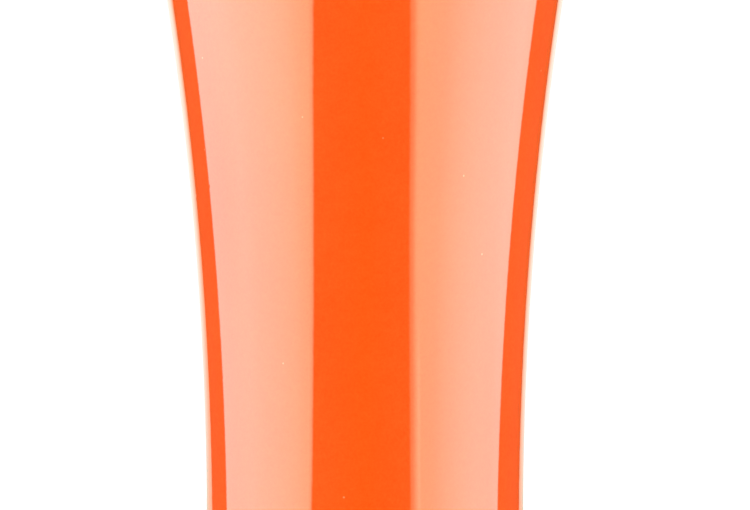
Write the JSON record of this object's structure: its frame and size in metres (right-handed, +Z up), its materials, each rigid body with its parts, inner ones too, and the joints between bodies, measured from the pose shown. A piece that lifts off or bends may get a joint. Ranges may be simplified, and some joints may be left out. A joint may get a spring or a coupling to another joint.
{
  "type": "rubber brayer",
  "caption": "Hand ink roller: soft rubber sleeve on a free-turning core in a bent bar yoke, with a rest stand, ferrule and glossy turned handle with a hanging hole.",
  "frame": {"origin": "on the resting plane, under the middle of the overall box", "axes": "+Z up as the brayer rests on its stand and handle; +Y from the roller toward the butt of the handle; X along the roller's axle"},
  "size_m": [0.1354, 0.215, 0.0462],
  "materials": {
    "orange_lacquer": "turned hardwood under a thick, high-gloss orange lacquer",
    "nickel_plate": "bright nickel plate on drawn metal, faint turning lines",
    "brad_steel": "bright steel brad",
    "insert_brass": "plain turned brass",
    "shank_steel": "zinc-plated turned steel",
    "fastener_steel": "bright zinc plate",
    "yoke_plate": "nickel-plated bar, fine lengthwise polishing lines",
    "stand_plate": "nickel-plated sheet, fine polishing lines",
    "rivet_steel": "set rivet heads, slightly dull",
    "axle_steel": "ground steel",
    "cap_nut_plate": "bright plated cap nut",
    "nylon_white": "natural nylon",
    "soft_rubber": "ground soft rubber, satin black",
    "core_aluminium": "drawn tube",
    "hub_aluminium": "turned face with fine concentric lines",
    "bush_acetal": "black acetal"
  },
  "bodies": {
    "frame": {"handle": "orange_lacquer", "ferrule": "nickel_plate", "ferrule_pins": "brad_steel", "threaded_insert": "insert_brass", "shank": "shank_steel", "lock_washer": "fastener_steel", "shank_nut": "fastener_steel", "yoke": "yoke_plate", "rest_stand": "stand_plate", "stand_rivets": "rivet_steel", "axle": "axle_steel", "left_cap_nut": "cap_nut_plate", "right_cap_nut": "cap_nut_plate", "left_plain_washer": "fastener_steel", "right_plain_washer": "fastener_steel", "left_thrust_washer": "nylon_white", "right_thrust_washer": "nylon_white"},
    "roller": {"rubber_sleeve": "soft_rubber", "roller_core": "core_aluminium", "left_hub": "hub_aluminium", "right_hub": "hub_aluminium", "left_bush": "bush_acetal", "right_bush": "bush_acetal"}
  },
  "joints": [
    {"name": "roller_spin", "type": "hinge", "parent": "frame", "child": "roller", "pos_m": [0, -0.08853, 0.02718], "axis": [1, 0, 0], "continuous": true}
  ]
}
